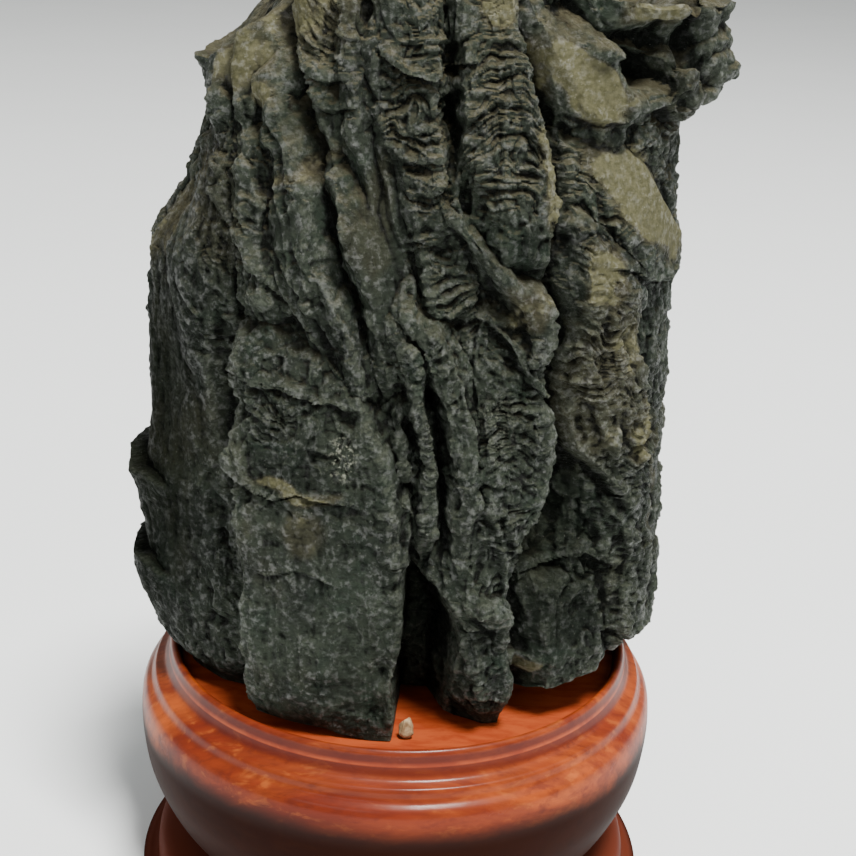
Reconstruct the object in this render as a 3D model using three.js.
// A suseok viewing stone on its round turned stand, with a small chip of stone lying at its foot.
// Millimetres, +Z up. The origin is the middle of the stand's flat underside; -Y is the front.
import * as THREE from 'three';
import { mergeVertices } from 'three/addons/utils/BufferGeometryUtils.js';

// Driving sizes
const STAND_HEIGHT = 76;        // table to the crest of the rim
const RECESS_DEPTH = 4;         // crest of the rim to the floor that the stone stands on
const FLOOR_HEIGHT = STAND_HEIGHT - RECESS_DEPTH;
const REST_GAP = 0.2;           // clearance of the stone and the chip above that floor
const CROWN_HEIGHT = 197;       // the stone's highest crest above the floor
const SECTION_ROUNDNESS = 2.2;  // 2 is an ellipse, more is boxier

// The turned stand's outline, from the middle of the recess to the middle of the underside:
// distance from the axis, and height against the crest of the rim.
const STAND_OUTLINE = [
  [0, -4], [63, -4], [65.5, -1], [66.5, 0], [67.8, -1], [68.6, -5], [71.4, -8.2], [72.6, -8.8],
  [73.2, -11.5], [74.6, -12.6], [76, -15], [76.6, -21], [75.8, -32], [72.6, -43], [66, -54], [60, -58.5],
  [62, -61.5], [70.5, -64.5], [72.8, -68], [72.8, -76], [0, -76],
];
const STAND_SEGMENTS = 44;

// The stone's plain form: [height, distance from the axis] to each side.
const LEFT = [
  [0, 61.5], [2.5, 62], [5, 66.5], [8, 70], [12, 72.5], [25, 75], [40, 73.5], [60, 74], [66, 71.5],
  [80, 71.5], [105, 70.5], [125, 68], [137, 59.5], [157, 54.5], [171, 56], [180, 54], [200, 47],
];
const RIGHT = [
  [0, 61.5], [3, 62], [5.5, 67], [8, 73.5], [60, 73], [100, 71], [122, 71.5], [135, 71.5], [150, 67.5],
  [162, 69.5], [170, 74], [190, 75.5], [200, 73],
];
const FRONT = [[0, 54], [20, 56], [60, 54], [100, 52], [140, 50], [160, 47], [180, 43], [200, 38]];
const BACK = [[0, 46], [20, 50], [60, 50], [100, 48], [140, 44], [160, 40], [180, 36], [200, 32]];
// How high the side reaches and how low it ends, as [azimuth, height]. Azimuth 0 is the front, positive to
// the right. The stone stands on the stretches that end at 0.
const RIM_TOP = [
  [-180, 188], [-120, 182], [-90, 172], [-72, 170], [-62, 175], [-50, 184], [-38, 190], [-20, 193],
  [20, 194], [45, 193], [60, 190], [90, 191], [130, 187], [180, 188],
];
const RIM_BOTTOM = [
  [-180, 0], [-150, 4], [-120, 0], [-90, 0], [-60, 0], [-38, 4], [-28, 3], [-18, 2.5], [-11, 0],
  [0, 0], [2, 3], [16, 3], [22, 0], [34, 0], [37, 7], [44, 11], [57, 13], [60, 17], [64, 19], [72, 18],
  [80, 16], [90, 12], [100, 5], [108, 0], [140, 5], [160, 0], [180, 0],
];

// The blades and columns that run down the stone. Each crest is [height, azimuth, rise, half width of its
// flat top in degrees], from top to bottom; fall is how it drops to its left and right, in mm a degree.
const BLADES = {
  leftCorner: {
    crest: [
      [176, -64, 2, 2], [164, -58, 3, 1], [150, -58, 2, 1], [134, -60, 1, 1], [115, -62, 0, 1],
      [96, -62, -3, 1],
    ],
    fall: [0.35, 0.6],
  },
  leftFlank: {
    crest: [
      [150, -88, -1, 6], [128, -86, 0, 5], [100, -84, 0, 6], [60, -84, 0, 5], [20, -82, 0, 5],
      [0, -80, 0, 5],
    ],
    fall: [0.1, 0.36],
  },
  leftRib: {
    crest: [
      [180, -54, 3, 1], [166, -52, 3, 0.5], [156, -48, 2, 0.5], [144, -46, 2, 0.5], [132, -43, 1, 0.5],
      [116, -38, 1, 0.5],
    ],
    fall: [0.8, 0.8],
  },
  longBlade: {
    crest: [
      [170, -44, 2, 2], [164, -41, 4, 1], [154, -34, 5, 0.5], [142, -28, 5, 0.5], [132, -26, 5, 0.5],
      [120, -21, 4, 1], [108, -16, 3, 1], [96, -13, 2, 1],
    ],
    fall: [0.55, 1.7],
  },
  secondBlade: {
    crest: [
      [149, -25, 2, 1], [144, -20, 3, 1], [134, -15, 3, 1], [121, -9, 3, 1], [112, -7, 2, 1],
      [100, -5, 1, 1],
    ],
    fall: [0.9, 1],
  },
  paleRib: {
    crest: [
      [192, -21, 4, 1], [172, -18, 4, 0.8], [161, -16, 3, 0.8], [150, -14, 1, 0.8],
      [140, -12, -2, 0.8],
    ],
    fall: [0.9, 1],
  },
  roughTop: {
    crest: [
      [192, -33, 2, 5], [178, -30, 1, 5], [166, -26, 0, 4], [156, -22, -2, 3],
    ],
    fall: [0.6, 0.6],
  },
  troughFloor: {
    crest: [
      [160, -12, -2, 4], [148, -11, -3, 5], [134, -7, -3, 4], [120, -3, -2, 2], [114, -1, -2, 1],
    ],
    fall: [0.5, 0.9],
  },
  middleColumn: {
    crest: [
      [192, -6, 3, 8], [178, -3, 3, 10], [164, 0, 3, 9], [150, 3, 2, 8], [132, 8, 1, 6],
      [117, 13, 0, 5],
    ],
    fall: [0.8, 1.4],
  },
  wrinkledColumn: {
    crest: [
      [192, 22, 3, 8], [174, 23, 4, 8], [160, 25, 4, 9], [142, 28, 4, 8], [132, 30, 2, 6],
    ],
    fall: [1.2, 1.6],
  },
  brightRidge: {
    crest: [
      [150, 5, 0, 0.5], [147, 7, 4, 0.8], [138, 14, 6, 1], [132, 18, 6, 1], [128, 23, 6, 1],
      [124, 30, 6, 2], [116, 33, 6, 3], [106, 33, 5, 3],
    ],
    fall: [0.9, 0.8],
  },
  scalyColumn: {
    crest: [
      [116, 24, 2, 3], [100, 27, 4, 7], [84, 29, 4, 7], [66, 29, 4, 6], [54, 24, 3, 5], [40, 22, 2, 4],
    ],
    fall: [1, 1.6],
  },
  curvedRidge: {
    crest: [
      [119, -2, 3, 0.8], [116, 2, 5, 1], [112, 7, 5, 1.2], [106, 11, 5, 1.5], [92, 14, 5, 1.5],
      [76, 17, 4, 1.5], [54, 18, 3, 1.5], [44, 18, 2, 1.5],
    ],
    fall: [1.2, 1],
  },
  shortRidge: {
    crest: [
      [115, -5, 2, 0.8], [110, 1, 4, 1], [104, 4, 4, 1], [96, 4, 2, 1], [80, 5, 1, 2], [60, 6, 1, 3],
    ],
    fall: [1, 1],
  },
  slab: {
    crest: [
      [104, -33, 0, 10], [96, -30, 2, 16], [78, -26, 4, 20], [64, -22.5, 5, 21], [48, -21, 5, 20],
      [24, -18.5, 5, 19], [0, -18, 3, 18],
    ],
    fall: [1.8, 2.6],
  },
  secondFoot: {
    crest: [
      [44, 22, 1, 4], [30, 23, -1, 5], [16, 27, -2, 4], [0, 31, -5, 2],
    ],
    fall: [1.2, 1.6],
  },
  peakBlade: {
    crest: [
      [139, 42, 3, 2], [130, 46, 6, 3], [120, 48, 6, 4], [110, 47, 5, 3], [100, 50, 5, 3],
      [92, 54, 5, 4], [75, 59, 5, 4], [57, 63, 4, 3], [42, 65, 3, 3], [22, 65, 1, 4],
    ],
    fall: [1.5, 0.6],
  },
  rightEdge: {
    crest: [
      [160, 76, 0, 6], [140, 76, 0, 6], [110, 76, 0, 6], [60, 78, 0, 6], [10, 80, 0, 6],
    ],
    fall: [0.25, 0.1],
  },
  rightUnder: { crest: [[40, 50, -3, 6], [20, 48, -2, 7], [4, 52, -4, 8]], fall: [0.8, 0.5] },
  patchUpper: {
    crest: [
      [184, 42, 3, 5], [174, 47, 4, 5], [164, 51, 4, 4], [160, 53, 1, 3],
    ],
    fall: [1.2, 1.2],
  },
  patchLower: {
    crest: [
      [160, 50, -1, 4], [154, 53, 2, 6], [142, 60, 3, 9], [130, 68, 3, 9], [124, 72, 2, 6],
    ],
    fall: [0.5, 0.8],
  },
  stripedFace: { crest: [[170, 62, 1, 5], [150, 66, 0, 5], [130, 72, -2, 5]], fall: [0.6, 0.3] },
  outerKnob: { crest: [[192, 80, 2, 7], [180, 79, 3, 7], [170, 77, 2, 6]], fall: [0.9, 0.4] },
  innerKnob: { crest: [[184, 64, 2, 3], [178, 66, 3, 4], [168, 68, 2, 4]], fall: [1.2, 1] },
  topKnob: { crest: [[196, 58, 3, 6], [188, 60, 2, 4]], fall: [1, 1] },
};

// Crevices between them: [height, azimuth, depth, half width in degrees].
const CREVICES = {
  flank: [
    [104, -51, 5, 4], [90, -51, 13, 5], [77, -49, 15, 5], [64, -47, 15, 5], [48, -45, 13, 4.5],
    [31, -43, 9, 4], [12, -42, 5, 3],
  ],
  besideBlade: [
    [186, -47, 5, 3], [176, -40, 7, 4], [168, -36, 8, 4.5], [157, -30, 7, 4], [144, -24, 5, 3],
    [132, -20, 4, 2.4], [112, -13, 3, 2],
  ],
  troughSide: [[152, -6, 2, 2], [138, -1, 3, 2.5], [124, 3, 4, 2.2], [118, 5, 3, 2]],
  middle: [[180, 11, 3, 2], [170, 10, 10, 3.2], [160, 10.5, 12, 3], [152, 10, 9, 2.2], [148, 10, 4, 2]],
  columnRight: [[190, 34, 4, 2], [176, 36, 5, 2], [160, 39, 6, 2], [144, 40, 6, 2], [134, 38, 7, 2.4]],
  right: [
    [124, 38, 6, 2], [116, 38, 11, 3], [106, 37, 11, 3], [96, 39, 9, 2.6], [84, 43, 8, 2.4],
    [74, 47, 8, 2.4], [62, 46, 9, 4], [48, 42, 7, 6],
  ],
  centreGap: [[100, 6, 4, 1.6], [94, 8, 10, 2.6], [84, 9, 8, 2], [72, 11, 6, 2], [58, 12, 5, 2]],
  slabRight: [[88, 1, 5, 1.6], [78, 3, 6, 2], [64, 3, 6, 2], [52, 4, 6, 2]],
  footRight: [[30, 37, 4, 3], [18, 38, 9, 4], [4, 38, 12, 4]],
};

// Ledges that cross the blades: the lip's line as [azimuth, height], how far it stands out, and how tall it
// is. A lip of less than 0 is a shoulder, which stands out below its line instead of above it.
const LEDGES = {
  shelf: {
    line: [
      [-54, 101], [-48, 100], [-40, 98], [-30, 97], [-22, 94], [-15, 92],
    ],
    proud: 1.7,
    lip: 4,
  },
  corner: { line: [[-49, 79], [-44, 74], [-39, 71]], proud: 2, lip: 5 },
  wavy: { line: [[-37, 70], [-32, 68], [-27, 71.5], [-19, 69], [-11, 67]], proud: 1.8, lip: 3 },
  slabLow: { line: [[-33, 46], [-24, 48], [-15, 46]], proud: 0.5, lip: 3 },
  diagonal: {
    line: [
      [-57, 141], [-50, 134], [-43, 128], [-38, 123], [-32, 117], [-28, 112],
    ],
    proud: 3.5,
    lip: 8,
  },
  thinA: { line: [[21, 117], [26, 109], [30, 103], [34, 99], [37, 95]], proud: 2.5, lip: 6 },
  thinB: { line: [[35, 106], [39, 98], [42, 89], [46, 82], [50, 76], [56, 67]], proud: 3, lip: 7 },
  cave: { line: [[0, 53], [4, 50], [8, 48], [12, 46], [16, 38], [18, 34]], proud: 2, lip: 6 },
  middleA: { line: [[-8, 178], [-2, 175], [4, 174], [9, 175], [14, 178]], proud: 3, lip: 5 },
  middleB: { line: [[-2, 160], [6, 161]], proud: 1.5, lip: 4 },
  middleC: { line: [[-1, 153], [8, 154]], proud: 1.5, lip: 4 },
  roughA: { line: [[-37, 176], [-29, 172], [-20, 172]], proud: 2, lip: 5 },
  roughB: { line: [[-34, 170], [-26, 165], [-19, 166]], proud: 2, lip: 5 },
  patchA: { line: [[42, 167], [49, 163], [54, 164]], proud: 1.5, lip: 6 },
  patchB: { line: [[50, 130], [60, 126], [70, 122], [76, 122]], proud: 2, lip: 6 },
  knob: {
    line: [[62, 166], [68, 162], [74, 164], [80, 170], [88, 174], [108, 176]],
    proud: 4.5,
    lip: 12,
  },
  knobLow: { line: [[58, 26], [66, 19], [76, 18]], proud: 1.5, lip: 8 },
  flankFin: { line: [[-102, 60], [-90, 60.5], [-76, 59]], proud: 5.5, lip: -22 },
  flankFoot: { line: [[-104, 34], [-90, 34], [-76, 33]], proud: 4, lip: -24 },
  overhangRight: { line: [[36, 44], [44, 46], [52, 50], [58, 46]], proud: 2.5, lip: 8 },
};

// The hollow between the two feet, its roof as [azimuth, height].
const CAVE = { from: 1.5, to: 17, depth: 26, roof: [[0, 52], [4, 49], [12, 45], [17, 34]] };

// Pockets and lumps: [azimuth, height, half width in degrees, half height, depth or rise].
const PITS = [
  [58, 175, 3.5, 5, 9], [62, 183, 6, 2.6, 7], [72, 181, 2.5, 6, 6], [0, 96, 3, 3, 5], [8, 95, 3, 3, 4],
  [3, 84, 2.5, 4, 4], [-44, 90, 5, 9, 6], [5, 77, 2, 3, 4], [40, 60, 6, 6, 6], [30, 128, 3, 3, 3],
  [-46, 160, 3, 4, 4], [33, 186, 3, 6, 6], [46, 188, 5, 4, 7],
];
const LUMPS = [
  [80, 178, 6, 7, 3], [67, 173, 5, 4.5, 4], [59, 168, 4.5, 3.5, 3], [51, 180, 5, 2, 3],
  [77, 191, 6, 4, 3], [66, 190, 4, 4, 3], [93, 186, 7, 6, 4], [95, 174, 6, 5, 4], [106, 180, 6, 8, 4],
  [118, 172, 6, 6, 3], [88, 174, 3, 3, 2], [112, 190, 5, 4, 3], [38, 18, 4, 3, 4], [22, 41, 5, 3, 3],
  [27, 37, 4, 3, 2.5], [10, 171, 2, 2.5, 5], [-26, 118, 1.5, 1.5, 2], [-18, 137, 2, 2.5, 2],
  [64, 30, 5, 5, 1.5],
];

const FLOOR_OF_VALLEYS = -12;
const LIP_EDGE = 0.8;           // a lip comes out over this height
const UNDERCUT = 0.6;           // depth of the undercut beside a lip, against how far the lip stands out
const UNDERCUT_REACH = 6;       // and its height
const ROUNDING = 3;             // the corners of every crest and crevice are rounded over this height
const CREVICE_REACH = 1.3;      // a crevice's slope runs on to this many of its half widths
const CREVICE_END = 6;          // and it fades out over this height past its ends
const END_FALL = 0.8;           // how fast a blade dies away past its ends, mm a mm
// Uneven growth, as layers of noise: [amount, size across, size up, seed]. Amounts are degrees for
// WANDER_ROUND and mm for the others.
const WANDER_ROUND = [[1.6, 14, 16, 5], [0.5, 5, 5, 6]];
const WANDER_UP = [[1.6, 12, 14, 7], [0.5, 4, 4, 8]];
const SWELLS = [[2.2, 26, 34, 11], [1.1, 11, 15, 12]];
const SWELL_START = 14;         // the swells grow from nothing at the floor to their full size here

// The back, which is ribbed as the front is: the same planes come out there, leaning the other way.
for (let k = 0; k < 13; k += 1) {
  const foot = 96 + 12.5 * k + 4 * Math.sin(2.4 * k);
  const lean = 26 + 12 * Math.sin(1.7 * k + 1);
  const rise = 1.5 + 3 * Math.abs(Math.sin(2.1 * k + 0.4));
  const flat = 1 + 3 * Math.abs(Math.sin(1.3 * k));
  const top = [196, 150, 178][k % 3];
  const low = [0, 0, 46, 0, 20][k % 5];
  const middle = (top + low) / 2;
  BLADES['back' + (k + 1)] = {
    crest: [
      [top, foot + lean, rise - 2.5, flat * 0.5],
      [middle + 26, foot + 0.5 * lean + 4 * Math.sin(3.1 * k), rise, flat],
      [middle - 24, foot + 0.1 * lean - 3 * Math.sin(2.2 * k), rise + 0.5, flat],
      [low, foot, rise - 2, flat],
    ],
    fall: [0.45 + 0.4 * Math.abs(Math.sin(k)), 0.45 + 0.7 * Math.abs(Math.cos(1.9 * k))],
  };
}
for (let k = 0; k < 16; k += 1) {
  const start = 92 + 9.6 * k + 6 * Math.sin(1.9 * k);
  const high = 18 + (61 * k) % 165;
  const span = 16 + 8 * Math.abs(Math.sin(2.7 * k));
  LEDGES['back' + (k + 1)] = {
    line: [
      [start, high],
      [start + 0.35 * span, high - 3 * Math.sin(k)],
      [start + 0.7 * span, high + 3],
      [start + span, high + 2 * Math.cos(3 * k)],
    ],
    proud: 2 + 1.2 * Math.abs(Math.sin(1.1 * k)),
    lip: 5 + 5 * Math.abs(Math.sin(0.7 * k)),
  };
}

// Small tools
const DEGREE = Math.PI / 180;
const clamp = (x, low = 0, high = 1) => Math.min(high, Math.max(low, x));
const wrap = (angle) => ((angle % 360) + 360) % 360;
const turnBetween = (a, b) => wrap(a - b + 180) - 180;

// The value in column n at x, on straight lines between the points, whose first column rises or falls.
function along(x, points, n = 1) {
  const rising = points[0][0] < points.at(-1)[0];
  const list = rising ? points : points.toReversed();
  if (x <= list[0][0]) return list[0][n];
  for (let i = 1; i < list.length; i += 1) {
    if (x <= list[i][0]) {
      const share = (x - list[i - 1][0]) / (list[i][0] - list[i - 1][0]);
      return list[i - 1][n] + share * (list[i][n] - list[i - 1][n]);
    }
  }
  return list.at(-1)[n];
}

// The same with its corners rounded over a reach.
function eased(x, points, reach, n = 1) {
  return (along(x - reach, points, n) + along(x, points, n) + along(x + reach, points, n)) / 3;
}

// Smooth noise from -1 to 1.
function lattice(i, j, k, seed) {
  const h = Math.sin(i * 127.1 + j * 311.7 + k * 74.7 + seed * 19.19) * 43758.5453;
  return h - Math.floor(h);
}

function noise(x, y, z, seed) {
  const cell = [x, y, z].map(Math.floor);
  const ease = [x, y, z].map((v, n) => (v - cell[n]) ** 2 * (3 - 2 * (v - cell[n])));
  let total = 0;
  for (let corner = 0; corner < 8; corner += 1) {
    const step = [corner & 1, (corner >> 1) & 1, corner >> 2];
    const share = step.reduce((product, s, n) => product * (s ? ease[n] : 1 - ease[n]), 1);
    total += share * lattice(cell[0] + step[0], cell[1] + step[1], cell[2] + step[2], seed);
  }
  return 2 * total - 1;
}

// The stone
function plainRadius(azimuth, z) {
  const sine = Math.sin(azimuth * DEGREE);
  const cosine = Math.cos(azimuth * DEGREE);
  const side = sine < 0 ? eased(z, LEFT, 2) : eased(z, RIGHT, 1.5);
  const deep = cosine > 0 ? eased(z, FRONT, 4) : eased(z, BACK, 4);
  const across = (Math.abs(sine) / side) ** SECTION_ROUNDNESS;
  const through = (Math.abs(cosine) / deep) ** SECTION_ROUNDNESS;
  return (across + through) ** (-1 / SECTION_ROUNDNESS);
}

function bladeRise(azimuth, z) {
  let rise = FLOOR_OF_VALLEYS;
  for (const { crest, fall } of Object.values(BLADES)) {
    const turn = turnBetween(azimuth, eased(z, crest, ROUNDING, 1));
    const beyond = Math.max(0, Math.abs(turn) - eased(z, crest, ROUNDING, 3));
    const past = Math.max(0, crest.at(-1)[0] - z, z - crest[0][0]);
    const here = eased(z, crest, ROUNDING, 2) - fall[turn < 0 ? 0 : 1] * beyond - END_FALL * past;
    rise = Math.max(rise, here);
  }
  return rise;
}

function creviceDepth(azimuth, z) {
  let depth = 0;
  for (const line of Object.values(CREVICES)) {
    const turn = Math.abs(azimuth - eased(z, line, ROUNDING, 1));
    const past = Math.max(0, line.at(-1)[0] - z, z - line[0][0]);
    const nearness = clamp(1 - turn / (CREVICE_REACH * eased(z, line, ROUNDING, 3)));
    depth += eased(z, line, ROUNDING, 2) * nearness ** 0.8 * clamp(1 - past / CREVICE_END);
  }
  return depth;
}

function ledgeRise(azimuth, z) {
  let rise = 0;
  for (const { line, proud, lip } of Object.values(LEDGES)) {
    const start = line[0][0];
    const turn = wrap(azimuth - start + 90) - 90 + start;
    const inside = clamp((turn - start + 3) / 4) * clamp((line.at(-1)[0] + 3 - turn) / 4);
    const up = (z - along(turn, line)) * Math.sign(lip);
    const shape = up > -LIP_EDGE ? clamp(1 - up / Math.abs(lip)) ** 1.5 * clamp(up / LIP_EDGE + 1) : 0;
    const undercut = up < 0 ? UNDERCUT * clamp(1 + up / UNDERCUT_REACH) : 0;
    rise += inside * proud * (shape - undercut);
  }
  return rise;
}

// How far away each spot of a list is, in its own half widths squared, with its size.
function spots(azimuth, z, list) {
  return list.map(([a, h, wide, tall, size]) => {
    const far = ((azimuth - a) / wide) ** 2 + ((z - h) / tall) ** 2;
    return [far, size];
  });
}

// The sum of some layers of noise, each [amount, size across, size up, seed].
function layered(x, y, z, layers) {
  let total = 0;
  for (const [amount, wide, tall, seed] of layers) {
    total += amount * noise(x / wide, y / wide, z / tall, seed);
  }
  return total;
}

// How far the surface stands out from the plain form.
function relief(azimuth, z, radius) {
  const x = radius * Math.sin(azimuth * DEGREE);
  const y = -radius * Math.cos(azimuth * DEGREE);
  const a = azimuth + layered(x, y, z, WANDER_ROUND);
  const h = z + layered(x, y, z, WANDER_UP);
  let out = bladeRise(a, h) - creviceDepth(a, h) + ledgeRise(a, h);
  for (const [far, size] of spots(a, h, PITS)) out -= size * Math.exp(-far);
  for (const [far, size] of spots(a, h, LUMPS)) out += size * clamp(1.6 * Math.exp(-far));
  const across = clamp((a - CAVE.from + 1) / 2.5) * clamp((CAVE.to + 1 - a) / 2.5);
  const inside = across * clamp((along(a, CAVE.roof) - h) / 4);
  out = out * (1 - inside) - CAVE.depth * inside;
  return out + layered(x, y, z, SWELLS) * clamp(z / SWELL_START);
}

// The uneven top, whose plates run from front to back.
const CROWN_FALL = [9, 7];      // how far it falls to the sides and to the front and back
const CROWN_REACH = [70, 42];   // over these distances
const LEFT_SLOPE = { from: 28, steepness: 0.7 };
const PLATE_SPACING = 24;
const PLATE_RISE = 5;

function crownHeight(x, y) {
  const slope = LEFT_SLOPE.steepness * clamp(-x - LEFT_SLOPE.from, 0, 60);
  const toSide = CROWN_FALL[0] * (x / CROWN_REACH[0]) ** 2;
  const toFront = CROWN_FALL[1] * (y / CROWN_REACH[1]) ** 2;
  const wave = x / PLATE_SPACING + y / 140 + 0.3 * noise(x / 22, y / 22, 0, 31);
  const plate = 1 - Math.abs(2 * (wave - Math.floor(wave)) - 1);
  const lumps = 3 * noise(x / 14, y / 30, 0, 33);
  return CROWN_HEIGHT - PLATE_RISE - toSide - toFront - slope + PLATE_RISE * plate ** 1.5 + lumps;
}

const CROWN_SHARE = 0.12;       // share of the way from pole to pole that is crown
const BASE_SHARE = 0.1;         // and underside
const UNDERSIDE_ARCH = 6;       // how far the middle of the underside is clear of the floor

// A point of the surface: way runs from the middle of the crown, 0, to the middle of the underside, 1.
function stonePoint(azimuth, way) {
  const top = along(azimuth, RIM_TOP);
  const low = along(azimuth, RIM_BOTTOM);
  const down = clamp((way - CROWN_SHARE) / (1 - BASE_SHARE - CROWN_SHARE));
  const side = top + (low - top) * down;
  const plain = plainRadius(azimuth, side);
  const full = plain + relief(azimuth, side, plain);
  const inTop = clamp(way / CROWN_SHARE);
  const inBase = clamp((1 - way) / BASE_SHARE);
  const radius = full * inTop * inBase;
  const sine = Math.sin(azimuth * DEGREE);
  const cosine = Math.cos(azimuth * DEGREE);
  const x = radius * sine;
  const y = -radius * cosine;
  let z = side;
  if (way < CROWN_SHARE) {
    const rimStep = side - crownHeight(full * sine, -full * cosine);
    z = crownHeight(x, y) + rimStep * inTop ** 5;
  }
  if (way > 1 - BASE_SHARE) z = side * inBase + UNDERSIDE_ARCH * (1 - inBase ** 2);
  return [x, y, z];
}

const STONE_COLUMNS = 78;
const STONE_ROWS = 50;
const FRONT_CROWDING = 0.25;    // how much closer the columns stand at the front

function makeStone() {
  const geometry = new THREE.SphereGeometry(1, STONE_COLUMNS, STONE_ROWS);
  const uv = geometry.attributes.uv;
  const position = geometry.attributes.position;
  for (let i = 0; i < position.count; i += 1) {
    const row = Math.round((1 - uv.getY(i)) * STONE_ROWS);
    const turn = (i % (STONE_COLUMNS + 1)) / STONE_COLUMNS;
    const even = 360 * (turn % 1) - 180;
    const azimuth = even - (FRONT_CROWDING / DEGREE) * Math.sin(even * DEGREE);
    position.setXYZ(i, ...stonePoint(azimuth, row / STONE_ROWS));
  }
  geometry.deleteAttribute('normal');
  geometry.deleteAttribute('uv');
  const stone = new THREE.Mesh(
    mergeVertices(geometry, 1e-4),
    new THREE.MeshStandardMaterial({ color: 0x43463e, roughness: 0.72, metalness: 0 }),
  );
  stone.name = 'stone';
  stone.position.z = FLOOR_HEIGHT + REST_GAP;
  return stone;
}

// The stand
function makeStand() {
  const outline = STAND_OUTLINE.map(([r, h]) => new THREE.Vector2(r, STAND_HEIGHT + h)).reverse();
  const stand = new THREE.Mesh(
    new THREE.LatheGeometry(outline, STAND_SEGMENTS),
    new THREE.MeshStandardMaterial({ color: 0x7f2f14, roughness: 0.22, metalness: 0 }),
  );
  stand.name = 'stand';
  stand.rotation.x = Math.PI / 2;
  return stand;
}

// The chip: a small wedge on its narrow edge against the right corner of the front foot
const CHIP_WIDTH = 3.2;
const CHIP_THICKNESS = 2.6;
const CHIP_HEIGHT = 6.2;
const CHIP_PLACE = [3.9, -54.6];

function makeChip() {
  const shape = new THREE.Shape();
  shape.moveTo(-0.15 * CHIP_WIDTH, 0);
  shape.lineTo(0.2 * CHIP_WIDTH, 0);
  shape.lineTo(0.5 * CHIP_WIDTH, 0.42 * CHIP_HEIGHT);
  shape.lineTo(0.3 * CHIP_WIDTH, 0.86 * CHIP_HEIGHT);
  shape.lineTo(-0.4 * CHIP_WIDTH, CHIP_HEIGHT);
  shape.lineTo(-0.5 * CHIP_WIDTH, 0.5 * CHIP_HEIGHT);
  const geometry = new THREE.ExtrudeGeometry(shape, { depth: CHIP_THICKNESS, bevelEnabled: false });
  geometry.translate(0, 0, -CHIP_THICKNESS / 2);
  const chip = new THREE.Mesh(
    geometry,
    new THREE.MeshStandardMaterial({ color: 0xa98562, roughness: 0.85, metalness: 0 }),
  );
  chip.name = 'wedge_chip';
  chip.rotation.x = Math.PI / 2;
  chip.position.set(...CHIP_PLACE, FLOOR_HEIGHT + REST_GAP);
  return chip;
}

const model = new THREE.Group();
model.add(makeStone(), makeStand(), makeChip());

export default model;
